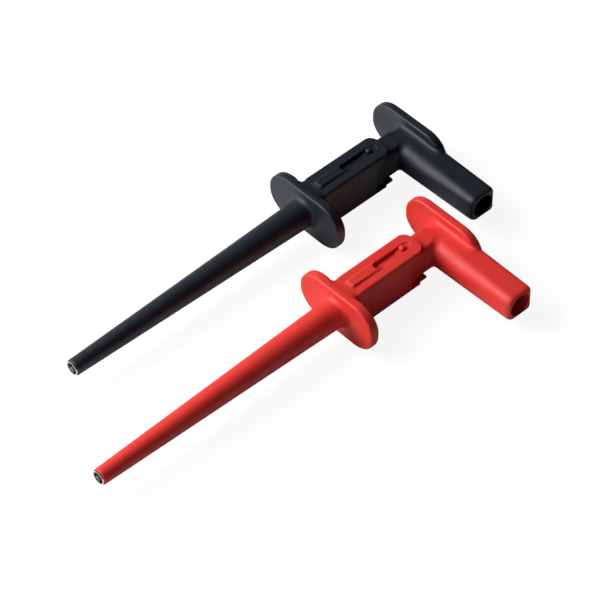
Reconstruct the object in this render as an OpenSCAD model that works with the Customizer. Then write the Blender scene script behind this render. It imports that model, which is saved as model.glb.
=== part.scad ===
// A pair of plunger-operated grabber clips for test leads, one red and one black, lying side by side.
// Pressing the thumb plate towards the finger flange pushes two spring jaws out of the steel tube and
// opens them; a return spring draws them back and closes them. A shrouded 4 mm plug goes into the arm.
// Each clip is drawn in its own frame: +X runs from the tube's mouth to the thumb plate, along the
// tube's axis, and the arm points along -Y.

/* [Pair] */
// Length of one clip, from the tube's mouth to the back of the thumb plate
clip_length = 185; // [182:0.5:195]
// How far the black clip lies behind the red one, along the tubes
pair_step_x = 28; // [22:0.5:60]
// Distance between the two tubes
pair_step_y = 48.5; // [44:0.5:80]

/* [Nose] */
// Outside diameter of the nose at its open end
nose_tip_d = 7.1; // [6.9:0.1:8.5]
// Outside diameter of the nose where it meets the flange
nose_root_d = 12.8; // [11.5:0.1:14]
// Round edge at the nose's open end
nose_edge_r = 0.5; // [0.3:0.1:0.5]
// Fillet between the nose and the flange
nose_fillet_r = 2; // [0.5:0.1:4]

/* [Steel tube] */
// Outside diameter of the steel tube
tube_d = 6; // [5.8:0.1:6.2]
// Inside diameter of the steel tube
tube_bore_d = 5.1; // [5.1:0.05:5.3]
// Length of the steel tube
tube_length = 97; // [60:1:99]
// How far the steel tube stands out of the nose
tube_lead = 0.5; // [0.3:0.1:5]

/* [Finger flange] */
// Front face of the flange, measured from the tube's mouth
flange_front = 123.5; // [118:0.5:125]
// Thickness of the flange
flange_t = 3.4; // [3.1:0.1:4]
// Width of the flange, across both finger rests
flange_w = 41; // [34:0.5:43]
// Height of the flange
flange_h = 24.4; // [22.4:0.2:30]
// Corner radius of the flange's outline
flange_corner_r = 11; // [6:0.5:11]
// Round edge of the flange's rim
flange_rim_r = 1.5; // [0.4:0.1:1.5]

/* [Housing] */
// Width of the housing behind the flange
housing_w = 13.2; // [13:0.1:14]
// Height of the housing
housing_h = 19.9; // [19.6:0.1:22]
// Round long edges of the housing
housing_edge_r = 1.2; // [0.8:0.1:1.6]
// Thickness of the housing's side walls
side_wall = 1.55; // [1.45:0.05:1.8]
// Thickness of the housing's top and bottom walls
top_wall = 1.45; // [1.3:0.05:1.6]
// Round long edges of the plunger's cavity
cavity_edge_r = 0.7; // [0.4:0.1:1.2]
// Front end of the plunger's cavity
cavity_front = 128.3; // [128:0.1:132]
// Back edge of the housing's side walls
back_edge = 163.8; // [162:0.1:165]
// Tip of the tongue at the back of the top wall
tongue_back = 166.5; // [165.5:0.1:168]
// Tip of the tab at the back of the bottom wall
tab_back = 168.3; // [166:0.1:168.5]
// Width of the tab at the back of the bottom wall
tab_w = 10.8; // [6:0.1:11]
// Corner radius of the tongue, seen from above
tongue_corner_r = 5; // [2:0.1:5.5]
// Width of the raised rib in front of the slot
rib_w = 3.8; // [2:0.1:7]
// Height of the rib at its front end
rib_rise = 0.8; // [0.4:0.05:1.2]
// Height of the rib where it meets the slot
rib_fall = 0.4; // [0.1:0.05:0.4]
// Front end of the rib
rib_front = 129.8; // [128:0.1:138]
// Width of the slot that the guide pin runs in
slot_w = 3.6; // [3.2:0.05:4.2]
// Back end of the slot
slot_back = 163.2; // [162.6:0.1:163.4]

/* [Plunger] */
// Travel of the plunger
travel = 11.5; // [8:0.5:11.5]
// Length of the plunger's guide head ahead of the slot
head_lead = 0.8; // [0.5:0.1:3]
// Length of the plunger's guide head behind the slot
head_tail = 0.3; // [0.2:0.1:0.4]
// Height of the stem behind the guide head
stem_h = 14.6; // [9:0.1:14.6]
// Round long edges of the stem
stem_edge_r = 1.5; // [0.5:0.1:4]
// Length of the guide pin's key, which fills the slot's width
key_length = 7.6; // [5:0.1:8]
// How far the key's face lies below the top of the housing
key_depth = 0.4; // [0.3:0.1:0.6]
// How much lower the key's face lies ahead of the nub
key_step = 0.7; // [0.3:0.1:0.7]
// Diameter of the guide pin's round nub
nub_d = 2.8; // [2:0.1:3.2]
// How far the nub stands out above the housing
nub_rise = 1; // [0.5:0.1:2]

/* [Thumb plate] */
// Thickness of the thumb plate
plate_t = 2.9; // [2.6:0.1:3.4]
// Width of the thumb plate
plate_w = 41.5; // [36:0.5:44]
// Height of the thumb plate
plate_h = 24.4; // [22.4:0.2:30]
// Sideways shift of the thumb plate towards the arm
plate_shift = 0.25; // [0:0.05:3]
// Round edge of the thumb plate's rim
plate_rim_r = 1.2; // [0.4:0.1:1.3]

/* [Arm] */
// Distance from the tube's axis to the mouth of the arm
arm_reach = 47.5; // [45:0.5:60]
// Width of the arm at its root, along the tube
arm_root_w = 14.6; // [13.8:0.1:14.6]
// Height of the arm at its root
arm_root_h = 14.4; // [13:0.1:14.4]
// Front long edges of the arm at its root
arm_root_r = 6.4; // [4:0.1:6.4]
// Round end of the arm on the side away from its mouth
arm_end_r = 3; // [1:0.1:3.5]
// Width of the arm at its mouth
arm_mouth_w = 13; // [12.6:0.1:14]
// Height of the arm at its mouth
arm_mouth_h = 12.6; // [12.2:0.1:14]
// Front long edges of the arm at its mouth
arm_mouth_r = 3.5; // [2:0.1:5]
// Back long edges of the arm
arm_back_r = 2.2; // [1.5:0.1:3]
// Width of the round lip around the mouth
arm_lip_w = 1.2; // [0.3:0.1:1.2]
// Length of that lip along the arm
arm_lip_length = 2; // [0.5:0.1:2.5]

/* [Socket] */
// Diameter of the hole that takes the plug's shroud
shroud_d = 10; // [9.4:0.1:10.2]
// Depth of that hole
shroud_depth = 26.5; // [24:0.5:30]
// Width of the bevel around the hole's mouth
mouth_bevel = 0.1; // [0.1:0.05:0.2]
// Bore of the contact sleeve, for a 4 mm plug
contact_bore_d = 4; // [4:0.05:4.2]
// Depth of the contact sleeve's bore
contact_bore_depth = 18; // [16:0.5:20]
// Outside diameter of the contact sleeve
contact_d = 5.2; // [5:0.1:5.6]
// How far the insulating pillar's face lies inside the mouth
pillar_recess = 6; // [3:0.5:8]
// Outside diameter of the insulating pillar
pillar_d = 6.6; // [6.4:0.1:6.8]
// Wall that covers the front of the contact sleeve
pillar_lip = 0.8; // [0.5:0.1:1.5]
// Hole in the pillar's front
pillar_hole_d = 4.4; // [4.3:0.05:4.6]
// Thickness of the pillar's base
pillar_base = 4; // [2:0.5:5]

/* [Rod and jaws] */
// Diameter of the contact rod
rod_d = 3; // [2.6:0.1:3]
// Hinge of the jaws, measured from the tube's mouth
jaw_hinge_x = 21; // [20:0.5:24]
// How far the closed jaws lie inside the tube
jaw_recess = 1.2; // [0.5:0.1:1.2]
// Width of the jaws
jaw_w = 2.2; // [1.8:0.1:2.2]
// Thickness of the jaws
jaw_t = 0.6; // [0.4:0.05:0.6]
// Distance of each jaw's hinge pin from the tube's axis
jaw_hinge_z = 0.8; // [0.8:0.01:0.85]
// Diameter of the jaws' hinge pins
jaw_pin_d = 0.6; // [0.5:0.05:0.6]
// Outside radius of the jaws' eyes
jaw_eye_r = 0.75; // [0.6:0.01:0.75]
// Length of the jaw holder
holder_length = 9; // [7:0.5:12]

/* [Return spring] */
// Outside diameter of the return spring
spring_d = 7.2; // [6.6:0.1:7.2]
// Wire diameter of the return spring
spring_wire = 0.7; // [0.5:0.05:0.9]
// Number of turns
spring_turns = 13; // [8:1:16]
// Diameter of the spring's pocket in the nose
pocket_d = 7.8; // [7.8:0.1:8.2]
// Length of the guide bush's body
bush_length = 7; // [4:0.5:10]
// Thickness of the guide bush's rim
bush_rim = 1; // [0.6:0.1:2]

/* [Clearances] */
// Gap between the plunger and the housing, on each side
slide_gap = 0.1; // [0.05:0.01:0.2]
// Radial gap between the rod and its bush, and between the jaw holder and the tube
running_gap = 0.05; // [0.03:0.01:0.08]
// Gap that is left at a stop
stop_gap = 0.3; // [0.2:0.05:0.5]
// Gap between the two jaws
jaw_gap = 0.06; // [0.04:0.01:0.1]

/* [Hidden] */
$fn = 64;

// overshoot of a cutter past the face that it cuts
cut = 1;

// colours
red_plastic = [0.86, 0.20, 0.17];
black_plastic = [0.11, 0.12, 0.14];
steel = [0.75, 0.75, 0.76];
brass = [0.83, 0.70, 0.40];
grey_plastic = [0.25, 0.25, 0.26];

// housing
cavity_w = housing_w - 2 * side_wall;
cavity_h = housing_h - 2 * top_wall;

// material that is left beyond the end of a hole
hole_floor = 1.5;

// arm and stem; the arm's back lies just inside the back of the thumb plate
plate_skin = 0.2;
arm_back = clip_length - plate_skin;
arm_front = arm_back - arm_root_w;
socket_x = arm_back - arm_mouth_w / 2;
plate_front = clip_length - plate_t;
stem_w = cavity_w - 2 * slide_gap;
// the arm keeps its root's section up to here, just clear of the stem
arm_full = stem_w / 2 + 1.3;

// guide pin's key, slot and guide head
key_back = slot_back - slide_gap;
key_front = key_back - key_length;
key_w = slot_w - 2 * slide_gap;
nub_x = (key_front + key_back) / 2;
slot_front = key_front - travel - slide_gap;
head_front = slot_front - head_lead;
head_back = slot_back + head_tail;
head_h = cavity_h - 2 * slide_gap;
peg_foot = rod_d / 2 + hole_floor;

// the cut that clears the pressed arm
notch_front = arm_front - travel - stop_gap;
notch_top = arm_root_h / 2 + stop_gap;
notch_r = arm_root_r + stop_gap;

// socket, measured along -Y from the tube's axis
shroud_end = arm_reach - shroud_depth;
pillar_face = arm_reach - pillar_recess;
contact_face = pillar_face - pillar_lip;
contact_tail = rod_d / 2 + hole_floor;

// bush, spring and collar
bush_front = tube_length;
bush_back = bush_front + bush_length;
spring_front = bush_back + bush_rim;
collar_length = 4;
collar_front = head_front - collar_length;
collar_d = spring_d - 2 * stop_gap;
collar_spigot = 2;
collar_spigot_d = rod_d + 2;

// jaw holder
holder_d = tube_bore_d - 2 * running_gap;
holder_front = jaw_hinge_x - 1;
holder_slot_back = jaw_hinge_x + 2 * jaw_eye_r;
rod_front = holder_slot_back + hole_floor;

// ---- general shapes ----

// A flat shape in the Y-Z plane, drawn out along X from x0 to x1
module along_x(x0, x1) {
    translate([x0, 0, 0])
        rotate([90, 0, 90])
            linear_extrude(x1 - x0)
                children();
}

// A flat shape in the X-Z plane, drawn out along Y from y0 to y1
module along_y(y0, y1) {
    translate([0, y1, 0])
        rotate([90, 0, 0])
            linear_extrude(y1 - y0)
                children();
}

// A round bar along X
module rod_x(x0, x1, d) {
    translate([x0, 0, 0])
        rotate([0, 90, 0])
            cylinder(h = x1 - x0, d = d);
}

// A round bar along -Y at socket_x, from y0 to y1 measured from the tube's axis
module rod_y(y0, y1, d, d_end = 0) {
    translate([socket_x, -y0, 0])
        rotate([90, 0, 0])
            cylinder(h = y1 - y0, d1 = d, d2 = d_end == 0 ? d : d_end);
}

// A flat profile of radius against length, turned about X
module turned() {
    rotate([0, 90, 0])
        rotate_extrude()
            children();
}

module rounded_rect(w, h, r) {
    square([w - 2 * r, h], center = true);
    square([w, h - 2 * r], center = true);
    for (x = [-1, 1], y = [-1, 1])
        translate([x * (w / 2 - r), y * (h / 2 - r)])
            circle(r);
}

// A long flat shape along X with round ends
module oblong(x0, x1, w) {
    translate([x0 + w / 2, -w / 2])
        square([x1 - x0 - w, w]);
    for (x = [x0 + w / 2, x1 - w / 2])
        translate([x, 0])
            circle(d = w);
}

// Half the profile of a disc of thickness t with a round rim
module rim_profile(r, t, rim) {
    square([r - rim, t]);
    translate([0, rim])
        square([r, t - 2 * rim]);
    for (z = [rim, t - rim])
        translate([r - rim, z])
            circle(rim);
}

// An oblong plate with round corners and a round rim, on the Y-Z plane, front face at x = 0
module rimmed_plate(t, w, h, corner, rim) {
    rotate([90, 0, 90]) {
        for (x = [-1, 1], y = [-1, 1])
            translate([x * (w / 2 - corner), y * (h / 2 - corner), 0])
                rotate_extrude()
                    rim_profile(corner, t, rim);
        translate([0, 0, t / 2])
            rotate([0, 90, 0])
                linear_extrude(w - 2 * corner, center = true)
                    rounded_rect(t, h, rim);
        translate([0, 0, t / 2])
            rotate([90, 90, 0])
                linear_extrude(h - 2 * corner, center = true)
                    rounded_rect(t, w, rim);
    }
}

// ---- moulded barrel: nose, finger flange and housing ----

module nose_profile() {
    tip_r = nose_tip_d / 2;
    root_r = nose_root_d / 2;
    polygon([
        [0, tube_lead],
        [tip_r - nose_edge_r, tube_lead],
        [tip_r, tube_lead + nose_edge_r],
        [root_r, flange_front],
        [root_r, flange_front + flange_t / 2],
        [0, flange_front + flange_t / 2]
    ]);
    translate([tip_r - nose_edge_r, tube_lead + nose_edge_r])
        circle(nose_edge_r);
    difference() {
        translate([root_r - nose_fillet_r / 2, flange_front - nose_fillet_r])
            square([nose_fillet_r * 1.5, nose_fillet_r + flange_t / 2]);
        translate([root_r + nose_fillet_r, flange_front - nose_fillet_r])
            circle(nose_fillet_r);
    }
}

// The tongue's outline, seen from above
module tongue_outline() {
    translate([head_front, -housing_w])
        square([tongue_back - tongue_corner_r - head_front, 2 * housing_w]);
    translate([head_front, -housing_w / 2 + tongue_corner_r])
        square([tongue_back - head_front, housing_w - 2 * tongue_corner_r]);
    for (y = [-1, 1])
        translate([tongue_back - tongue_corner_r, y * (housing_w / 2 - tongue_corner_r)])
            circle(tongue_corner_r);
}

// Everything that is taken off the back of the housing, so that a tongue, a tab and the notch are left
module back_cuts() {
    tail = tab_back + cut - back_edge;
    // above the notch: the tongue stays
    translate([0, 0, notch_top])
        linear_extrude(housing_h)
            difference() {
                translate([tongue_back - tongue_corner_r, -housing_w])
                    square([tab_back + cut - tongue_back + tongue_corner_r, 2 * housing_w]);
                tongue_outline();
            }
    // far side wall
    translate([back_edge, 0, -cavity_h / 2])
        cube([tail, housing_w, cavity_h / 2 + notch_top]);
    // near side wall: open from the bottom wall up to a round corner under the tongue
    along_y(-housing_w, 0) {
        translate([notch_front, -cavity_h / 2])
            square([tab_back + cut - notch_front, cavity_h / 2 + notch_top - notch_r]);
        translate([notch_front + notch_r, -cavity_h / 2])
            square([tab_back + cut - notch_front - notch_r, cavity_h / 2 + notch_top]);
        translate([notch_front + notch_r, notch_top - notch_r])
            circle(notch_r);
    }
    // bottom wall: the tab stays
    for (y = [-1, 1])
        translate([back_edge, y > 0 ? tab_w / 2 : -tab_w / 2 - housing_w, -housing_h])
            cube([tail, housing_w, housing_h - cavity_h / 2]);
}

// The oblong hole in the top wall
module top_slot() {
    translate([0, 0, cavity_h / 2 - cut])
        linear_extrude(top_wall + rib_rise + 2 * cut)
            oblong(slot_front, slot_back, slot_w);
}

// The raised rib: a long wedge with sloped sides and a round front edge, cut short by the slot
module rib() {
    edge = rib_rise / 2;
    back = slot_front + slot_w / 2;
    foot = rib_w / 2 + rib_rise;
    intersection() {
        along_y(-foot, foot)
            translate([0, cavity_h / 2 + top_wall / 2]) {
                polygon([
                    [rib_front, 0],
                    [rib_front, top_wall / 2 + rib_rise - edge],
                    [rib_front + edge, top_wall / 2 + rib_rise],
                    [back, top_wall / 2 + rib_fall],
                    [back, 0]
                ]);
                translate([rib_front + edge, top_wall / 2 + rib_rise - edge])
                    circle(edge);
            }
        along_x(rib_front - cut, back + cut)
            translate([0, housing_h / 2])
                polygon([
                    [-rib_w / 2, rib_rise],
                    [rib_w / 2, rib_rise],
                    [foot, -top_wall / 2],
                    [-foot, -top_wall / 2]
                ]);
    }
}

module barrel() {
    difference() {
        union() {
            turned()
                nose_profile();
            translate([flange_front, 0, 0])
                rimmed_plate(flange_t, flange_w, flange_h, flange_corner_r, flange_rim_r);
            along_x(flange_front + flange_t / 2, tab_back)
                rounded_rect(housing_w, housing_h, housing_edge_r);
            rib();
        }
        rod_x(-cut, bush_back, tube_d);
        rod_x(bush_back - cut, cavity_front + cut, pocket_d);
        along_x(cavity_front, tab_back + cut)
            rounded_rect(cavity_w, cavity_h, cavity_edge_r);
        back_cuts();
        top_slot();
    }
}

// ---- steel tube and guide bush ----

module guide_tube() {
    color(steel)
        difference() {
            rod_x(0, tube_length, tube_d);
            rod_x(-cut, tube_length + cut, tube_bore_d);
        }
}

module rod_bush() {
    color(grey_plastic)
        difference() {
            union() {
                rod_x(bush_front, bush_back, tube_d);
                rod_x(bush_back, spring_front, pocket_d);
            }
            rod_x(bush_front - cut, spring_front + cut, rod_d + 2 * running_gap);
        }
}

// ---- return spring ----

spring_sides = 6;
rings_per_turn = 8;
spring_from = spring_front + slide_gap / 2;
spring_to = collar_front - slide_gap / 2;
spring_r = (spring_d - spring_wire) / 2;
coil_from = spring_from + spring_wire;
coil_to = spring_to - spring_wire;
ring_count = spring_turns * rings_per_turn;

// Centre of ring i of the coil, which has a straight end of one wire diameter on either side
function ring_angle(i) = 360 * i / rings_per_turn;
function ring_x(i) = coil_from + (coil_to - coil_from) * i / ring_count;
function coil_point(i) = [
    ring_x(i),
    spring_r * cos(ring_angle(i)),
    spring_r * sin(ring_angle(i))
];
function spring_point(i) =
    i < 0 ? [spring_from, spring_r, 0]
    : i > ring_count ? [spring_to, coil_point(ring_count)[1], coil_point(ring_count)[2]]
    : coil_point(i);

// Direction of the wire at ring i: along X at the ends, along the helix between them
function helix_way(i) =
    let (
        pitch = (coil_to - coil_from) / spring_turns,
        run = [pitch / (2 * PI * spring_r), -sin(ring_angle(i)), cos(ring_angle(i))]
    )
    run / norm(run);
function wire_way(i) =
    i < 0 || i > ring_count ? [1, 0, 0]
    : i == 0 || i == ring_count ? (helix_way(i) + [1, 0, 0]) / norm(helix_way(i) + [1, 0, 0])
    : helix_way(i);

// One ring of wire points, square to the wire
function ring_points(i) =
    let (
        centre = spring_point(i),
        out = [0, cos(ring_angle(max(0, min(ring_count, i)))), sin(ring_angle(max(0, min(ring_count, i))))],
        side = cross(wire_way(i), out)
    )
    [
        for (k = [0 : spring_sides - 1])
            centre + spring_wire / 2 * (cos(360 * k / spring_sides) * out
            + sin(360 * k / spring_sides) * side / norm(side))
    ];

// Least gap between two turns: ring centres at least half a turn apart, less the wire
least_gap = min([
    for (i = [0 : ring_count], j = [i + rings_per_turn / 2 : ring_count])
        norm(spring_point(i) - spring_point(j))
]) - spring_wire;

module return_spring() {
    rings = ring_count + 3;
    points = [for (i = [-1 : ring_count + 1]) each ring_points(i)];
    sides = [
        for (i = [0 : rings - 2], k = [0 : spring_sides - 1])
            let (
                a = i * spring_sides + k,
                b = i * spring_sides + (k + 1) % spring_sides,
                c = b + spring_sides,
                d = a + spring_sides
            )
            each [[a, b, c], [a, c, d]]
    ];
    first = [for (k = [1 : spring_sides - 2]) [0, k + 1, k]];
    last_ring = (rings - 1) * spring_sides;
    last = [for (k = [1 : spring_sides - 2]) [last_ring, last_ring + k, last_ring + k + 1]];
    color(steel)
        polyhedron(points, concat(sides, first, last));
}

// ---- plunger: guide head, stem, arm and thumb plate in one moulding ----

// A thin slice of the arm, drawn inwards by inset: its four round corners, for a hull to fill. Its outer
// face lies at distance y from the tube's axis, measured along -Y, and its back on the arm's back. r is
// the radius of the two front corners.
module arm_slice(y, w, h, r, inset = 0) {
    thin = 0.02;
    least = 0.2;
    low = y > 0 ? -y : -y - thin;
    along_y(low, low + thin)
        for (corner = [[arm_back - w, 1, r], [arm_back, -1, arm_back_r]], z = [-1, 1]) {
            reach = max(corner[2], inset + least);
            translate([corner[0] + corner[1] * reach, z * (h / 2 - reach)])
                circle(reach - inset, $fn = 32);
        }
}

// The end by the stem and the lip of the mouth are rounded by slices on a quarter curve, turned by a
module arm() {
    hull() {
        for (a = [0, 30, 60, 90])
            arm_slice(
                arm_end_r * (1 - sin(a)) - stem_w / 2,
                arm_root_w,
                arm_root_h,
                arm_root_r,
                arm_end_r * (1 - cos(a))
            );
        arm_slice(arm_full, arm_root_w, arm_root_h, arm_root_r);
        for (a = [0, 30, 60, 90])
            arm_slice(
                arm_reach - arm_lip_length * (1 - sin(a)),
                arm_mouth_w,
                arm_mouth_h,
                arm_mouth_r,
                arm_lip_w * (1 - cos(a))
            );
    }
}

module plunger() {
    bevel_d = shroud_d + 2 * mouth_bevel;
    difference() {
        union() {
            along_x(head_front, head_back)
                rounded_rect(stem_w, head_h, cavity_edge_r);
            along_x(head_back - cut, arm_front + arm_root_r)
                rounded_rect(stem_w, stem_h, stem_edge_r);
            arm();
            translate([plate_front, -plate_shift, 0])
                rimmed_plate(plate_t, plate_w, plate_h, flange_corner_r, plate_rim_r);
        }
        rod_x(head_front - cut, socket_x + contact_tail, rod_d);
        rod_x(head_front - cut, head_front + collar_spigot, collar_spigot_d);
        rod_y(-contact_tail, arm_reach + cut, contact_d);
        rod_y(shroud_end, arm_reach + cut, shroud_d);
        rod_y(arm_reach - mouth_bevel, arm_reach + cut, shroud_d, bevel_d + 2 * cut);
        translate([nub_x, 0, peg_foot])
            cylinder(h = head_h, d = nub_d);
    }
}

// ---- guide pin, rod and collar ----

// A peg that is pressed into the guide head, the key that runs in the slot, and the round nub on top
module guide_pin(shade) {
    key_top = housing_h / 2 - key_depth;
    height = housing_h / 2 + nub_rise - peg_foot;
    r = nub_d / 2;
    edge = 0.7 * r;
    color(shade) {
        difference() {
            translate([0, 0, head_h / 2])
                linear_extrude(key_top - head_h / 2)
                    oblong(key_front, key_back, key_w);
            translate([key_front - cut, -key_w, key_top - key_step])
                cube([nub_x - key_front + cut, 2 * key_w, key_step + cut]);
        }
        translate([nub_x, 0, peg_foot])
            rotate_extrude() {
                square([r, height - edge]);
                square([r - edge, height]);
                intersection() {
                    translate([r - edge, height - edge])
                        circle(edge);
                    square(height);
                }
            }
    }
}

module contact_rod() {
    color(brass)
        rod_x(rod_front, socket_x + contact_tail - stop_gap, rod_d);
}

module rod_collar() {
    groove = 0.4;
    color(brass)
        difference() {
            union() {
                rod_x(collar_front, head_front, collar_d);
                rod_x(head_front, head_front + collar_spigot, collar_spigot_d);
            }
            rod_x(collar_front - cut, head_front + collar_spigot + cut, rod_d);
            translate([collar_front + collar_length / 2, 0, 0])
                turned()
                    translate([collar_d / 2, 0])
                        circle(groove);
        }
}

// ---- socket ----

module socket_insert() {
    color(grey_plastic)
        difference() {
            union() {
                rod_y(shroud_end, pillar_face, pillar_d);
                rod_y(shroud_end, shroud_end + pillar_base, shroud_d);
            }
            rod_y(shroud_end - cut, contact_face, contact_d);
            rod_y(contact_face - cut, pillar_face + cut, pillar_hole_d);
        }
}

module socket_contact() {
    slit_w = 0.5;
    slit_depth = 9;
    color(brass)
        difference() {
            rod_y(-contact_tail + stop_gap, contact_face, contact_d);
            rod_y(contact_face - contact_bore_depth, contact_face + cut, contact_bore_d);
            rod_x(socket_x - contact_d, socket_x + contact_d, rod_d);
            translate([socket_x, -contact_face + slit_depth / 2, 0])
                cube([2 * contact_d, slit_depth, slit_w], center = true);
        }
}

// ---- jaws ----

module jaw_holder() {
    slot_w = jaw_w + 2 * running_gap;
    color(steel)
        difference() {
            rod_x(holder_front, holder_front + holder_length, holder_d);
            rod_x(rod_front, holder_front + holder_length + cut, rod_d);
            translate([holder_front - cut, -slot_w / 2, -holder_d])
                cube([holder_slot_back - holder_front + cut, slot_w, 2 * holder_d]);
            for (z = [-1, 1])
                translate([jaw_hinge_x, 0, z * jaw_hinge_z])
                    rotate([90, 0, 0])
                        cylinder(h = holder_d + cut, d = jaw_pin_d, center = true);
        }
}

module jaw_pins() {
    reach = sqrt(pow(holder_d / 2, 2) - pow(jaw_hinge_z + jaw_pin_d / 2, 2));
    color(steel)
        for (z = [-1, 1])
            translate([jaw_hinge_x, 0, z * jaw_hinge_z])
                rotate([90, 0, 0])
                    cylinder(h = 2 * reach, d = jaw_pin_d, center = true);
}

// The jaw is a bent strip: a straight leg, an eye that goes round a wire, and a flat nib
module jaw() {
    tip = jaw_recess;
    inner = jaw_gap / 2 + 0.03;
    leg = jaw_gap + 0.04;
    color(steel)
        difference() {
            along_y(-jaw_w / 2, jaw_w / 2) {
                polygon([
                    [tip, inner],
                    [tip + 1.5, inner],
                    [tip + 2.2, jaw_t + 0.1],
                    [tip + 3.2, jaw_t + 0.1],
                    [tip + 5, leg + 0.25],
                    [tip + 7, leg],
                    [jaw_hinge_x, leg],
                    [jaw_hinge_x, leg + jaw_t],
                    [tip + 7, leg + jaw_t],
                    [tip + 4.8, 2 * jaw_t - 0.1],
                    [tip + 2.8, 2 * jaw_t + 0.1],
                    [tip + 1, 2 * jaw_t],
                    [tip, jaw_t]
                ]);
                translate([jaw_hinge_x, jaw_hinge_z])
                    circle(jaw_eye_r);
            }
            translate([jaw_hinge_x, 0, jaw_hinge_z])
                rotate([90, 0, 0])
                    cylinder(h = jaw_w + cut, d = jaw_pin_d + 2 * running_gap, center = true);
        }
}

module lower_jaw() {
    mirror([0, 0, 1])
        jaw();
}

// ---- the pair ----

module red_clip() {
    translate([
        -(clip_length + pair_step_x) / 2,
        (arm_reach - pair_step_y - plate_w / 2 + plate_shift) / 2,
        max(flange_h, plate_h) / 2
    ])
        children();
}

module black_clip() {
    red_clip()
        translate([pair_step_x, pair_step_y, 0])
            children();
}

echo(least_gap_in_return_spring = least_gap);

red_clip() color(red_plastic) barrel();  // red_barrel
red_clip() guide_tube();  // red_guide_tube
red_clip() rod_bush();  // red_rod_bush
red_clip() return_spring();  // red_return_spring
red_clip() color(red_plastic) plunger();  // red_plunger
red_clip() guide_pin(red_plastic);  // red_guide_pin
red_clip() contact_rod();  // red_contact_rod
red_clip() rod_collar();  // red_rod_collar
red_clip() socket_insert();  // red_socket_insert
red_clip() socket_contact();  // red_socket_contact
red_clip() jaw_holder();  // red_jaw_holder
red_clip() jaw_pins();  // red_jaw_pins
red_clip() jaw();  // red_upper_jaw
red_clip() lower_jaw();  // red_lower_jaw
black_clip() color(black_plastic) barrel();  // black_barrel
black_clip() guide_tube();  // black_guide_tube
black_clip() rod_bush();  // black_rod_bush
black_clip() return_spring();  // black_return_spring
black_clip() color(black_plastic) plunger();  // black_plunger
black_clip() guide_pin(black_plastic);  // black_guide_pin
black_clip() contact_rod();  // black_contact_rod
black_clip() rod_collar();  // black_rod_collar
black_clip() socket_insert();  // black_socket_insert
black_clip() socket_contact();  // black_socket_contact
black_clip() jaw_holder();  // black_jaw_holder
black_clip() jaw_pins();  // black_jaw_pins
black_clip() jaw();  // black_upper_jaw
black_clip() lower_jaw();  // black_lower_jaw
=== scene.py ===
"""Camera, studio light and finished surfaces for a pair of plunger grabber clips.

The fixed frame holds every piece at its true size and place. Each moulding gets a finished copy with
softened edges and blended corners. Metal and inner pieces keep their own solids. All get materials here.
"""

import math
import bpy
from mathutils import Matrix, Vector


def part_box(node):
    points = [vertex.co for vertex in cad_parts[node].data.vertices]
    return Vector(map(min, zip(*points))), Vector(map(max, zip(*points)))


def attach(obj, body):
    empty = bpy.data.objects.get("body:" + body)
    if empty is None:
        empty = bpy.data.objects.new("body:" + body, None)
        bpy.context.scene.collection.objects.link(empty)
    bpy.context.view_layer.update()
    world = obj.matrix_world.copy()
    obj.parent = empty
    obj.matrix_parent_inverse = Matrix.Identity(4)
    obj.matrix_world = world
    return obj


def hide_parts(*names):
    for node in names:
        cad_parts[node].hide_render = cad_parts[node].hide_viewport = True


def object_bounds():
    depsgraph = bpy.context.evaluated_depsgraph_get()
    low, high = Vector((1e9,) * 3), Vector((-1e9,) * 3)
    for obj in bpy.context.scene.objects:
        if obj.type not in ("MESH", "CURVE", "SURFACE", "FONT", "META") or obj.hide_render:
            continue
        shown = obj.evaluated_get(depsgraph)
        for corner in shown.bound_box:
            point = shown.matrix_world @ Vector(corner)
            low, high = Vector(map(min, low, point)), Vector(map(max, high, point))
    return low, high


bl_info = {
    "name": "Grabber Clip Pair",
    "version": (1, 0, 0),
    "blender": (4, 5, 0),
    "location": "3D View > Sidebar > Grabber Clips",
    "description": "Moulded insulation, plated metal, floor and light for a pair of grabber clips",
    "category": "Object",
}

from types import SimpleNamespace

import bmesh
import bpy
import numpy as np
from bpy.props import FloatProperty, FloatVectorProperty, IntProperty, PointerProperty
from mathutils import Matrix, Vector

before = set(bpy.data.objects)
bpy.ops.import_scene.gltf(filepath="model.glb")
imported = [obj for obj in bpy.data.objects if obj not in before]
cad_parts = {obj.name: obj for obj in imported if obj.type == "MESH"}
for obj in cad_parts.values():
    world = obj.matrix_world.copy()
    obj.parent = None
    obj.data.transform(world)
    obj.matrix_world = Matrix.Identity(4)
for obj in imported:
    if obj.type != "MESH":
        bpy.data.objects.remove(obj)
CAD_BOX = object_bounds()

MM = 0.001
CLIPS = ("red", "black")

SENSOR_MM = 36
KEY_PLACE = (-0.52, 0.63, 0.65)  # on the noses' side, behind the black clip
KEY_TARGET = (0.02, 0.0, 0.01)  # beside the red clip's flange
SKY_WAY = (-0.64, 0.77, 0)  # the key light's side, where the surround is brightest

# Places on a clip are measured from the middle of its tube's mouth, with X towards the thumb plate.
# An oblong plate has its two faces at front and back. Its round corners of corner_r are drawn about the
# corners of a rectangle, core_y by core_z. The solid's edges have the radius edge_r, the moulding's
# crisp_r. The moulding's upper half leans out by forward and backward, and loses the share lower of its
# height.
FLANGE = SimpleNamespace(
    front=123.5 * MM,
    back=126.9 * MM,
    core_y=(-9.5 * MM, 9.5 * MM),
    core_z=(-1.2 * MM, 1.2 * MM),
    corner_r=11 * MM,
    edge_r=1.5 * MM,
    crisp_r=0.8 * MM,
    forward=0.7 * MM,
    backward=0.3 * MM,
    lower=0.13,
)
THUMB_PLATE = SimpleNamespace(
    front=182.1 * MM,
    back=185 * MM,
    core_y=(-10 * MM, 9.5 * MM),
    core_z=(-1.2 * MM, 1.2 * MM),
    corner_r=11 * MM,
    edge_r=1.2 * MM,
    crisp_r=0.8 * MM,
    forward=1.1 * MM,
    backward=0,
    lower=0.01,
)
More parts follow.
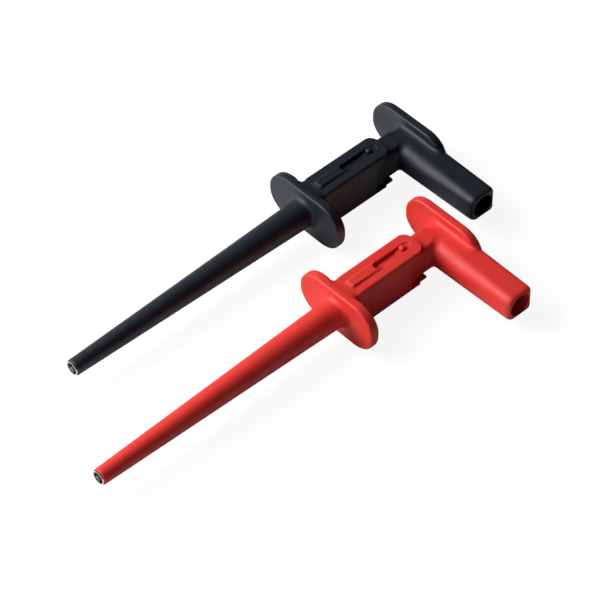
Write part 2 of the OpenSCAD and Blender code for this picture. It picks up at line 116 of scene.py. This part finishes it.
NOSE_BORE_R = 5 * MM  # every hollow of the nose lies within this radius
NOSE_STILL = 100 * MM  # from here to its fillet, the nose follows the flange's lean more and more
NOSE_FILLET = 121.5 * MM
HOUSING_HALF_W = 6 * MM  # just inside the housing's outer walls
HOUSING_HALF_H = 9.5 * MM
FLANGE_BLEND = 4 * MM  # reach of the blend on either side of the flange's back face
ARM_BLEND_X = (167 * MM, 183.5 * MM)  # stretch of the stem, arm and thumb plate that is blended
ARM_BLEND_HALF_H = 11 * MM
ARM_SIDE_Y = 6 * MM  # the arm lies below this, and the thumb plate's free wing above it
ARM_HALF_H = 7.3 * MM  # just above the arm's root, which the thumb plate's lean leaves alone
ARM_MARGIN = 1.2 * MM  # and the height over which the lean sets in
SOCKET_X = 178.3 * MM
SOCKET_R = 5.3 * MM
SLACK = 0.02 * MM  # a point this close to a face counts as on it
TINY = 1e-9

# Smoothing moves each point by a share of the way to its neighbours' mean.
STEP_IN = 0.5
STEP_OUT = -0.52  # a step back, which keeps the moulding from shrinking
HOLLOW = 0.004 * MM  # a point that lies this far under its neighbours' mean is in an inside corner
BLEND_RINGS = 8  # rings of points around an inside corner that its blend takes in
RING_FADE = 0.97  # weight that is left from one ring to the next

NOISE_SPAN = {"From Min": 0.3, "From Max": 0.7}  # where most of a noise's values lie
WAVE_TURN = 20  # a wave pattern's phase at one metre, in radians, at a scale of 1


def linear(code):
    """An sRGB hex colour such as #C83228, as the linear numbers that Blender's sockets hold."""
    parts = [int(code[i : i + 2], 16) / 255 for i in (1, 3, 5)]
    return tuple(
        c / 12.92 if c <= 0.04045 else ((c + 0.055) / 1.055) ** 2.4 for c in parts
    )


def colour_property(name, description, code):
    return FloatVectorProperty(
        name=name,
        description=description,
        subtype="COLOR",
        size=3,
        min=0,
        max=1,
        default=linear(code),
    )


# ---- sizes and colours that a user would change ----


class GRABBER_PG_camera(bpy.types.PropertyGroup):
    azimuth: FloatProperty(
        name="Azimuth",
        description="Direction that the camera stands in, turned from -Y towards +X",
        subtype="ANGLE",
        default=math.radians(-42.53),
    )
    elevation: FloatProperty(
        name="Elevation",
        description="Height of the camera above the floor, as an angle",
        subtype="ANGLE",
        default=math.radians(47.75),
    )
    roll: FloatProperty(
        name="Roll",
        description="Turn of the picture about the line of sight",
        subtype="ANGLE",
        default=math.radians(-0.56),
    )
    distance: FloatProperty(
        name="Distance",
        description="Distance from the camera to the point that it looks at",
        subtype="DISTANCE",
        unit="LENGTH",
        default=1.2447,
    )
    aim: FloatVectorProperty(
        name="Aim",
        description="Point that the camera looks at, measured from the red tube's mouth",
        subtype="TRANSLATION",
        unit="LENGTH",
        default=(0.11694, 0.01417, 0),
    )
    lens: FloatProperty(
        name="Focal Length",
        description=f"Focal length in millimetres on a sensor {SENSOR_MM} mm wide",
        default=188.9,
    )


class GRABBER_PG_studio(bpy.types.PropertyGroup):
    floor_size: FloatProperty(
        name="Floor Size",
        description="Width of the plain floor",
        subtype="DISTANCE",
        unit="LENGTH",
        default=6.0,
    )
    key_power: FloatProperty(
        name="Key Light",
        description="Power of the broad soft light behind the noses",
        subtype="POWER",
        unit="POWER",
        default=18.0,
    )
    key_size: FloatProperty(
        name="Key Light Size",
        description="Width of the broad soft light",
        subtype="DISTANCE",
        unit="LENGTH",
        default=0.85,
    )
    sky: FloatProperty(
        name="Sky",
        description="Strength of the surround on its bright side, behind the noses",
        default=0.35,
        min=0,
    )


class GRABBER_PG_moulding(bpy.types.PropertyGroup):
    grid: FloatProperty(
        name="Surface Grid",
        description="Spacing of the faces that a moulding's skin is rebuilt with",
        subtype="DISTANCE",
        unit="LENGTH",
        default=0.28 * MM,
    )
    edge_passes: IntProperty(
        name="Edge Softening",
        description="Rounds of smoothing that break a moulding's sharp edges",
        default=6,
        min=0,
    )
    blend_passes: IntProperty(
        name="Corner Blending",
        description="Rounds of smoothing that fill a moulding's inside corners",
        default=220,
        min=0,
    )
    keep_faces: FloatProperty(
        name="Kept Faces",
        description="Share of the faces that stays once the flat areas are thinned",
        subtype="FACTOR",
        default=0.3,
        min=0.05,
        max=1,
    )


class GRABBER_PG_colours(bpy.types.PropertyGroup):
    red: colour_property("Red", "Colour of the red clip's insulation", "#E4322A")
    black: colour_property("Black", "Colour of the black clip's insulation", "#0A1420")
    acetal: colour_property("Acetal", "Colour of the guide bushes", "#DAD8CF")
    nickel: colour_property("Nickel", "Colour of the nickel-plated pieces", "#C9C6C0")
    wire: colour_property("Spring Wire", "Colour of the return springs", "#A9ABAE")
    brass: colour_property("Brass", "Colour of the rods and collars", "#D3B06A")


PROPERTY_GROUPS = {
    "grabber_camera": GRABBER_PG_camera,
    "grabber_studio": GRABBER_PG_studio,
    "grabber_moulding": GRABBER_PG_moulding,
    "grabber_colours": GRABBER_PG_colours,
}


def sizes(group):
    return getattr(bpy.context.scene, "grabber_" + group)


# ---- nodes and materials ----


def add(tree, kind, inputs=None, **settings):
    """Adds a node with its settings. An input is a value, or another node's output socket."""
    made = tree.nodes.new(kind)
    for name, value in settings.items():
        setattr(made, name, value)
    for name, value in (inputs or {}).items():
        if isinstance(value, bpy.types.NodeSocket):
            tree.links.new(value, made.inputs[name])
        else:
            made.inputs[name].default_value = value
    return made


def per(length_mm):
    """Scale of a noise pattern whose features are this many millimetres across."""
    return 1 / (length_mm * MM)


def bands(spacing_mm):
    """Scale of a wave pattern whose lines lie this many millimetres apart."""
    return 2 * math.pi / WAVE_TURN / (spacing_mm * MM)


def blank_material(name):
    material = bpy.data.materials.new(name)
    material.use_nodes = True
    material.node_tree.nodes.clear()
    return material, material.node_tree


def close(tree, surface):
    add(tree, "ShaderNodeOutputMaterial", {"Surface": surface})


def moulded_nylon(name, colour):
    """Polyamide insulation, injection moulded in a spark-eroded tool: an even satin with a broad, soft
    highlight, a fine grain, patches polished by handling, and slight clouding of the colour."""
    cloud_mm = 9
    smear_mm = 5
    grain_mm = 0.35  # the real grain is near 0.05 mm, drawn coarser so that it shows
    material, tree = blank_material(name)
    place = add(tree, "ShaderNodeTexCoord").outputs["Object"]
    cloud = add(
        tree, "ShaderNodeTexNoise", {"Vector": place, "Scale": per(cloud_mm), "Detail": 3}
    )
    shade = add(
        tree,
        "ShaderNodeMapRange",
        {**NOISE_SPAN, "Value": cloud.outputs["Fac"], "To Min": 0.93, "To Max": 1.04},
    )
    tint = add(
        tree,
        "ShaderNodeMix",
        {"Factor": 1.0, "A": (*colour, 1), "B": shade.outputs["Result"]},
        data_type="RGBA",
        blend_type="MULTIPLY",
    )
    smear = add(
        tree,
        "ShaderNodeTexNoise",
        {"Vector": place, "Scale": per(smear_mm), "Detail": 6, "Roughness": 0.7, "Distortion": 0.6},
    )
    gloss = add(
        tree,
        "ShaderNodeMapRange",
        {**NOISE_SPAN, "Value": smear.outputs["Fac"], "To Min": 0.5, "To Max": 0.6},
    )
    grain = add(
        tree, "ShaderNodeTexNoise", {"Vector": place, "Scale": per(grain_mm), "Detail": 2}
    )
    bump = add(
        tree,
        "ShaderNodeBump",
        {"Height": grain.outputs["Fac"], "Strength": 0.25, "Distance": 0.05 * MM},
    )
    skin = add(
        tree,
        "ShaderNodeBsdfPrincipled",
        {
            "Base Color": tint.outputs["Result"],
            "Roughness": gloss.outputs["Result"],
            "Normal": bump.outputs["Normal"],
            "IOR": 1.5,
        },
    )
    close(tree, skin.outputs["BSDF"])
    return material


def metal(name, colour, roughness, line_mm, direction="X"):
    """A drawn, turned or plated metal: fine lines square to its axis, and a patchy tarnish that dulls
    the colour and changes the width of the highlight."""
    tarnish_mm = 2.5
    material, tree = blank_material(name)
    place = add(tree, "ShaderNodeTexCoord").outputs["Object"]
    tarnish = add(
        tree, "ShaderNodeTexNoise", {"Vector": place, "Scale": per(tarnish_mm), "Detail": 5}
    )
    width = add(
        tree,
        "ShaderNodeMapRange",
        {
            **NOISE_SPAN,
            "Value": tarnish.outputs["Fac"],
            "To Min": roughness * 0.8,
            "To Max": roughness * 1.35,
        },
    )
    lines = add(
        tree,
        "ShaderNodeTexWave",
        {"Vector": place, "Scale": bands(line_mm), "Distortion": 2.0, "Detail": 2.0},
        bands_direction=direction,
    )
    bump = add(
        tree,
        "ShaderNodeBump",
        {"Height": lines.outputs["Fac"], "Strength": 0.2, "Distance": 0.01 * MM},
    )
    dull = add(
        tree,
        "ShaderNodeMapRange",
        {
            "Value": tarnish.outputs["Fac"],
            "From Min": 0.25,
            "From Max": 0.75,
            "To Min": 0.85,
            "To Max": 1.0,
        },
    )
    tint = add(
        tree,
        "ShaderNodeMix",
        {"Factor": 1.0, "A": (*colour, 1), "B": dull.outputs["Result"]},
        data_type="RGBA",
        blend_type="MULTIPLY",
    )
    skin = add(
        tree,
        "ShaderNodeBsdfPrincipled",
        {
            "Base Color": tint.outputs["Result"],
            "Metallic": 1.0,
            "Roughness": width.outputs["Result"],
            "Normal": bump.outputs["Normal"],
        },
    )
    close(tree, skin.outputs["BSDF"])
    return material


def turned_acetal(name, colour):
    """Natural acetal, turned from bar: a waxy white with faint tool rings."""
    ring_mm = 0.3
    material, tree = blank_material(name)
    place = add(tree, "ShaderNodeTexCoord").outputs["Object"]
    rings = add(
        tree,
        "ShaderNodeTexWave",
        {"Vector": place, "Scale": bands(ring_mm), "Distortion": 1.0},
        bands_direction="X",
    )
    bump = add(
        tree,
        "ShaderNodeBump",
        {"Height": rings.outputs["Fac"], "Strength": 0.2, "Distance": 0.02 * MM},
    )
    skin = add(
        tree,
        "ShaderNodeBsdfPrincipled",
        {
            "Base Color": (*colour, 1),
            "Roughness": 0.4,
            "IOR": 1.48,
            "Subsurface Weight": 0.2,
            "Subsurface Scale": 1 * MM,
            "Normal": bump.outputs["Normal"],
        },
    )
    close(tree, skin.outputs["BSDF"])
    return material


# Each finish: what makes it, the user's colour for it, and for a metal its roughness, the spacing of
# its lines in millimetres and the axis that they lie across.
FINISHES = {
    "red_moulded_nylon": (moulded_nylon, "red"),
    "black_moulded_nylon": (moulded_nylon, "black"),
    "natural_acetal": (turned_acetal, "acetal"),
    # bright, smooth plating with a clear highlight
    "nickel_plated_steel": (metal, "nickel", 0.22, 0.12),
    # the same plating on a stamped strip, a little duller
    "nickel_plated_bronze": (metal, "nickel", 0.3, 0.2, "Y"),
    # grey wire with die lines and a soft highlight
    "drawn_spring_wire": (metal, "wire", 0.3, 0.2),
    # yellow bar with the fine rings of a lathe
    "turned_brass": (metal, "brass", 0.25, 0.15),
}


def finish(name):
    """The material of this name, made when it is first asked for."""
    if name in bpy.data.materials:
        return bpy.data.materials[name]
    maker, colour, *values = FINISHES[name]
    return maker(name, getattr(sizes("colours"), colour), *values)


def paint_node(node_name, material_name):
    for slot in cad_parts[node_name].material_slots:
        slot.material = finish(material_name)


def paint_both(part, material_name):
    """Gives both clips' pieces of this kind one material."""
    for clip in CLIPS:
        paint_node(clip + "_" + part, material_name)


# ---- mouldings ----


def mouth(clip):
    """The middle of the steel tube's mouth."""
    low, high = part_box(clip + "_guide_tube")
    return np.array([low.x, (low.y + high.y) / 2, (low.z + high.z) / 2])


def apply_modifiers(piece):
    """Gives the piece the mesh that its modifiers make."""
    graph = bpy.context.evaluated_depsgraph_get()
    made = bpy.data.meshes.new_from_object(piece.evaluated_get(graph))
    piece.modifiers.clear()
    piece.data = made


def welded_copy(clip, part):
    """A new object with the node's mesh, its points joined into one closed skin."""
    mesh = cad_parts[clip + "_" + part].data.copy()
    work = bmesh.new()
    work.from_mesh(mesh)
    bmesh.ops.remove_doubles(work, verts=work.verts, dist=0.0001 * MM)
    work.to_mesh(mesh)
    work.free()
    piece = bpy.data.objects.new(clip + "_" + part + "_moulding", mesh)
    bpy.context.scene.collection.objects.link(piece)
    return piece


def points_of(mesh, attribute="co"):
    """The vertices' places, or another of their three-number attributes, as one array."""
    values = np.empty(len(mesh.vertices) * 3)
    mesh.vertices.foreach_get(attribute, values)
    return values.reshape(-1, 3)


def neighbour_mean(points, ends, count):
    """The mean place of each point's neighbours along the edges."""
    total = np.empty_like(points)
    for axis in range(3):
        total[:, axis] = np.bincount(ends[0], points[ends[1], axis], len(points))
        total[:, axis] += np.bincount(ends[1], points[ends[0], axis], len(points))
    return total / count[:, None]


def blend_weight(points, normals, ends, count, zone):
    """Weight of each point in the corner blend: the hollow points of the zone, with fading rings."""
    rise = np.sum((neighbour_mean(points, ends, count) - points) * normals, axis=1)
    weight = np.where(rise > HOLLOW, 1.0, 0.0) * zone
    for _ in range(BLEND_RINGS):
        near = np.maximum(weight[ends[0]], weight[ends[1]]) * RING_FADE
        wider = weight.copy()
        np.maximum.at(wider, ends[0], near)
        np.maximum.at(wider, ends[1], near)
        weight = wider
    return weight * zone


def soften(mesh, blend_zone):
    """Breaks the sharp edges all over, and fills the inside corners where blend_zone gives a weight."""
    moulding = sizes("moulding")
    ends = np.empty(len(mesh.edges) * 2, int)
    mesh.edges.foreach_get("vertices", ends)
    ends = ends.reshape(-1, 2).T
    points = points_of(mesh)
    count = np.bincount(ends.ravel(), minlength=len(points)).astype(float)
    for _ in range(moulding.edge_passes):
        for step in (STEP_IN, STEP_OUT):
            points += step * (neighbour_mean(points, ends, count) - points)
    mesh.vertices.foreach_set("co", points.ravel())
    mesh.update()
    normals = points_of(mesh, "normal")
    weight = blend_weight(points, normals, ends, count, blend_zone(points))[:, None]
    for _ in range(moulding.blend_passes):
        points += STEP_IN * weight * (neighbour_mean(points, ends, count) - points)
    mesh.vertices.foreach_set("co", points.ravel())
    mesh.update()


def upper_share(z, plate):
    """How far each height lies up the plate's lower half: 0 at its foot, 1 from the middle up."""
    return np.clip(1 + z / (plate.core_z[1] + plate.corner_r), 0, 1)


def crisp_rim(points, plate, weight):
    """Gives an oblong plate its tighter edges, leans its upper half out and lowers it."""
    x, y, z = points.T
    core = np.stack([np.clip(y, *plate.core_y), np.clip(z, *plate.core_z)])
    out = np.stack([y, z]) - core
    reach = np.hypot(*out)
    way = out / np.maximum(reach, TINY)
    within = (x > plate.front - SLACK) & (x < plate.back + SLACK)
    rim = within & (reach > plate.corner_r - plate.edge_r - SLACK)
    new_x, new_reach = x.copy(), reach.copy()
    for face, side in ((plate.front, 1), (plate.back, -1)):
        # turn is the angle on the round edge, from the face to the rim's outermost line
        depth = (x - face) * side
        overhang = np.maximum(reach - plate.corner_r + plate.edge_r, 0)
        turn = np.arctan2(overhang, np.maximum(plate.edge_r - depth, TINY))
        edge = rim & (depth < plate.edge_r)
        new_x[edge] = (face + side * plate.crisp_r * (1 - np.cos(turn)))[edge]
        new_reach[edge] = (plate.corner_r - plate.crisp_r * (1 - np.sin(turn)))[edge]
    upper = upper_share(z, plate)
    upper = upper * upper * (3 - 2 * upper)  # eases in and out
    share = np.clip((new_x - plate.front) / (plate.back - plate.front), 0, 1)
    lean = (share * plate.backward - (1 - share) * plate.forward) * upper
    new_x += np.where(within, lean, 0)
    new_y, new_z = core + way * new_reach
    new_z = np.where(z > 0, new_z * (1 - plate.lower), new_z)
    moved = np.stack([new_x, np.where(rim, new_y, y), np.where(rim, new_z, z)]).T
    return points + (moved - points) * weight[:, None]


def barrel_shape(points):
    """The barrel with its flange's rim done, and the nose and its fillet brought forward with it."""
    x, y, z = points.T
    outside = np.hypot(y, z) > NOSE_BORE_R
    moved = crisp_rim(points, FLANGE, outside.astype(float))
    nose = outside & (x <= FLANGE.front - SLACK)
    along = np.clip((x - NOSE_STILL) / (NOSE_FILLET - NOSE_STILL), 0, 1) * nose
    moved[:, 0] -= FLANGE.forward * along * upper_share(z, FLANGE)
    return moved


def barrel_corners(points):
    """Where the barrel's corners are blended: on the outside, behind the flange."""
    x, y, z = points.T
    near = np.abs(x - FLANGE.back) < FLANGE_BLEND
    outside = (np.abs(y) > HOUSING_HALF_W) | (np.abs(z) > HOUSING_HALF_H)
    return (near & outside).astype(float)


def plunger_shape(points):
    """The plunger with its thumb plate's rim done, clear of the arm that grows out of it."""
    y, z = points[:, 1], points[:, 2]
    clear = np.clip((np.abs(z) - ARM_HALF_H) / ARM_MARGIN, 0, 1)
    return crisp_rim(points, THUMB_PLATE, np.where(y < ARM_SIDE_Y, clear, 1.0))


def plunger_corners(points):
    """Where the plunger's corners are blended: between stem, arm and thumb plate, not in the socket."""
    x, y, z = points.T
    near = (x > ARM_BLEND_X[0]) & (x < ARM_BLEND_X[1]) & (np.abs(z) < ARM_BLEND_HALF_H)
    socket = (np.hypot(x - SOCKET_X, z) < SOCKET_R) & (y < 0)
    return (near & ~socket).astype(float)


def make_moulding(clip, part, body, shape, corners):
    """A finished copy of a moulded node: an even skin, softened, then thinned where it is flat.
    The functions shape and corners work on points measured from the tube's mouth."""
    moulding = sizes("moulding")
    tip = mouth(clip)
    piece = welded_copy(clip, part)
    shaped = shape(points_of(piece.data) - tip) + tip
    piece.data.vertices.foreach_set("co", shaped.ravel())
    skin = piece.modifiers.new("skin", "REMESH")
    skin.mode = "VOXEL"
    skin.voxel_size = moulding.grid
    apply_modifiers(piece)
    soften(piece.data, lambda points: corners(points - tip))
    thin = piece.modifiers.new("thin", "DECIMATE")
    thin.ratio = moulding.keep_faces
    apply_modifiers(piece)
    piece.data.shade_smooth()
    piece.data.materials.clear()
    piece.data.materials.append(finish(clip + "_moulded_nylon"))
    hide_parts(clip + "_" + part)
    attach(piece, body)


# ---- operators: one for each group of like pieces ----


class GRABBER_OT_camera(bpy.types.Operator):
    """Place the camera at the pair's usual viewing angle"""

    bl_idname = "grabber.camera"
    bl_label = "Camera"

    def execute(self, context):
        view = sizes("camera")
        back = Vector(
            (
                math.sin(view.azimuth) * math.cos(view.elevation),
                -math.cos(view.azimuth) * math.cos(view.elevation),
                math.sin(view.elevation),
            )
        )
        level = Vector((math.cos(view.azimuth), math.sin(view.azimuth), 0))
        upright = back.cross(level)
        right = level * math.cos(view.roll) + upright * math.sin(view.roll)
        up = upright * math.cos(view.roll) - level * math.sin(view.roll)
        lens = bpy.data.cameras.new("camera")
        lens.lens = view.lens
        lens.sensor_width = SENSOR_MM
        lens.sensor_fit = "HORIZONTAL"
        lens.clip_start = 0.01
        lens.clip_end = 20
        camera = bpy.data.objects.new("camera", lens)
        turned = Matrix((right, up, back)).transposed().to_4x4()
        place = Vector(mouth("red")) + Vector(view.aim) + back * view.distance
        camera.matrix_world = Matrix.Translation(place) @ turned
        context.scene.collection.objects.link(camera)
        context.scene.camera = camera
        return {"FINISHED"}


def area_light(name, place, target, width, power):
    """A square soft light at place that faces target."""
    lamp = bpy.data.lights.new(name, "AREA")
    lamp.size = width
    lamp.energy = power
    light = bpy.data.objects.new(name, lamp)
    way = Vector(target) - Vector(place)
    light.rotation_euler = way.to_track_quat("-Z", "Y").to_euler()
    light.location = place
    bpy.context.scene.collection.objects.link(light)


def floor_material(name):
    """Matt white paper. The camera sees it lifted to white, with the objects' shadow still on it. Its
    mirror image in the pieces is brighter than the light that it throws on them."""
    thrown, mirrored = 0.5, 1.05
    shadow, lift = 0.17, 0.9
    material, tree = blank_material(name)
    path = add(tree, "ShaderNodeLightPath")
    albedo = add(
        tree,
        "ShaderNodeMapRange",
        {"Value": path.outputs["Is Glossy Ray"], "To Min": thrown, "To Max": mirrored},
    )
    paper = add(tree, "ShaderNodeBsdfDiffuse", {"Color": albedo.outputs["Result"]})
    shade = add(tree, "ShaderNodeBsdfDiffuse", {"Color": (shadow, shadow, shadow, 1)})
    glow = add(tree, "ShaderNodeEmission", {"Color": (1, 1, 1, 1), "Strength": lift})
    lifted = add(tree, "ShaderNodeAddShader", {0: shade.outputs[0], 1: glow.outputs[0]})
    seen = add(
        tree,
        "ShaderNodeMixShader",
        {0: path.outputs["Is Camera Ray"], 1: paper.outputs[0], 2: lifted.outputs[0]},
    )
    close(tree, seen.outputs[0])
    return material


class GRABBER_OT_stage(bpy.types.Operator):
    """Lay the plain floor and set the studio light and the white surround"""

    bl_idname = "grabber.stage"
    bl_label = "Floor and Light"

    def execute(self, context):
        studio = sizes("studio")
        half = studio.floor_size / 2
        mesh = bpy.data.meshes.new("floor")
        corners = [(x, y, CAD_BOX[0][2]) for x, y in ((-1, -1), (1, -1), (1, 1), (-1, 1))]
        corners = [(x * half, y * half, z) for x, y, z in corners]
        mesh.from_pydata(corners, [], [(0, 1, 2, 3)])
        floor = bpy.data.objects.new("floor", mesh)
        mesh.materials.append(floor_material("white_paper"))
        context.scene.collection.objects.link(floor)
        area_light("key_light", KEY_PLACE, KEY_TARGET, studio.key_size, studio.key_power)
        self.surround(context, studio.sky)
        context.scene.view_settings.view_transform = "Standard"
        return {"FINISHED"}

    def surround(self, context, strength):
        """White where the camera looks past the floor, elsewhere a sky that is bright behind the noses."""
        world = bpy.data.worlds.new("surround")
        world.use_nodes = True
        tree = world.node_tree
        tree.nodes.clear()
        path = add(tree, "ShaderNodeLightPath")
        seen = add(
            tree,
            "ShaderNodeMath",
            {0: path.outputs["Is Camera Ray"], 1: path.outputs["Is Transmission Ray"]},
            operation="MAXIMUM",
        )
        way = add(tree, "ShaderNodeTexCoord").outputs["Generated"]
        side = add(
            tree,
            "ShaderNodeVectorMath",
            {0: way, 1: SKY_WAY},
            operation="DOT_PRODUCT",
        )
        sky = add(
            tree,
            "ShaderNodeMapRange",
            {"Value": side.outputs["Value"], "From Min": -0.3, "To Min": 0, "To Max": strength},
        )
        level = add(
            tree,
            "ShaderNodeMapRange",
            {"Value": seen.outputs[0], "To Min": sky.outputs["Result"], "To Max": 1.0},
        )
        even = add(
            tree,
            "ShaderNodeBackground",
            {"Color": (1, 1, 1, 1), "Strength": level.outputs["Result"]},
        )
        add(tree, "ShaderNodeOutputWorld", {"Surface": even.outputs[0]})
        context.scene.world = world


class GRABBER_OT_barrels(bpy.types.Operator):
    """Finish the moulded noses, finger flanges and slotted housings"""

    bl_idname = "grabber.barrels"
    bl_label = "Barrels"

    def execute(self, context):
        for clip in CLIPS:
            make_moulding(clip, "barrel", "barrels", barrel_shape, barrel_corners)
        return {"FINISHED"}


class GRABBER_OT_plungers(bpy.types.Operator):
    """Finish the moulded plungers with their arms and thumb plates, and the guide pins"""

    bl_idname = "grabber.plungers"
    bl_label = "Plungers"

    def execute(self, context):
        for clip in CLIPS:
            make_moulding(clip, "plunger", clip + "_plunger", plunger_shape, plunger_corners)
            paint_node(clip + "_guide_pin", clip + "_moulded_nylon")
        return {"FINISHED"}


class GRABBER_OT_tubes(bpy.types.Operator):
    """Finish the steel guide tubes and the acetal rod bushes"""

    bl_idname = "grabber.tubes"
    bl_label = "Tubes and Bushes"

    def execute(self, context):
        paint_both("guide_tube", "nickel_plated_steel")
        paint_both("rod_bush", "natural_acetal")
        return {"FINISHED"}


class GRABBER_OT_springs(bpy.types.Operator):
    """Finish the return springs"""

    bl_idname = "grabber.springs"
    bl_label = "Return Springs"

    def execute(self, context):
        paint_both("return_spring", "drawn_spring_wire")
        return {"FINISHED"}


class GRABBER_OT_rods(bpy.types.Operator):
    """Finish the contact rods and their collars"""

    bl_idname = "grabber.rods"
    bl_label = "Rods and Collars"

    def execute(self, context):
        paint_both("contact_rod", "turned_brass")
        paint_both("rod_collar", "turned_brass")
        return {"FINISHED"}


class GRABBER_OT_jaws(bpy.types.Operator):
    """Finish the jaws, their holders and hinge pins"""

    bl_idname = "grabber.jaws"
    bl_label = "Jaws"

    def execute(self, context):
        for part in ("jaw_holder", "jaw_pins"):
            paint_both(part, "nickel_plated_steel")
        for part in ("upper_jaw", "lower_jaw"):
            paint_both(part, "nickel_plated_bronze")
        return {"FINISHED"}


class GRABBER_OT_sockets(bpy.types.Operator):
    """Finish the insulating pillars and the contact sleeves in the arms"""

    bl_idname = "grabber.sockets"
    bl_label = "Sockets"

    def execute(self, context):
        # The pillars are black nylon in both clips. This is a guess at the real part, and it also stands
        # in as painted shade for the dark hole in the arm's mouth.
        paint_both("socket_insert", "black_moulded_nylon")
        paint_both("socket_contact", "nickel_plated_bronze")
        return {"FINISHED"}


class GRABBER_PT_panel(bpy.types.Panel):
    """Lists the steps in their order, with the sizes and colours"""

    bl_idname = "GRABBER_PT_panel"
    bl_label = "Grabber Clips"
    bl_space_type = "VIEW_3D"
    bl_region_type = "UI"
    bl_category = "Grabber Clips"

    def draw(self, context):
        for operator in OPERATORS:
            self.layout.operator(operator.bl_idname)
        for name, group in PROPERTY_GROUPS.items():
            box = self.layout.box()
            for key in group.__annotations__:
                box.prop(getattr(context.scene, name), key)


OPERATORS = (
    GRABBER_OT_camera,
    GRABBER_OT_stage,
    GRABBER_OT_barrels,
    GRABBER_OT_plungers,
    GRABBER_OT_tubes,
    GRABBER_OT_springs,
    GRABBER_OT_rods,
    GRABBER_OT_jaws,
    GRABBER_OT_sockets,
)


def register():
    for group in PROPERTY_GROUPS.values():
        bpy.utils.register_class(group)
    for name, group in PROPERTY_GROUPS.items():
        setattr(bpy.types.Scene, name, PointerProperty(type=group))
    for operator in OPERATORS:
        bpy.utils.register_class(operator)
    bpy.utils.register_class(GRABBER_PT_panel)


def unregister():
    bpy.utils.unregister_class(GRABBER_PT_panel)
    for operator in reversed(OPERATORS):
        bpy.utils.unregister_class(operator)
    for name in PROPERTY_GROUPS:
        delattr(bpy.types.Scene, name)
    for group in PROPERTY_GROUPS.values():
        bpy.utils.unregister_class(group)


def main():
    register()
    for operator in OPERATORS:
        group, name = operator.bl_idname.split(".")
        getattr(getattr(bpy.ops, group), name)()


if __name__ == "__main__":
    main()
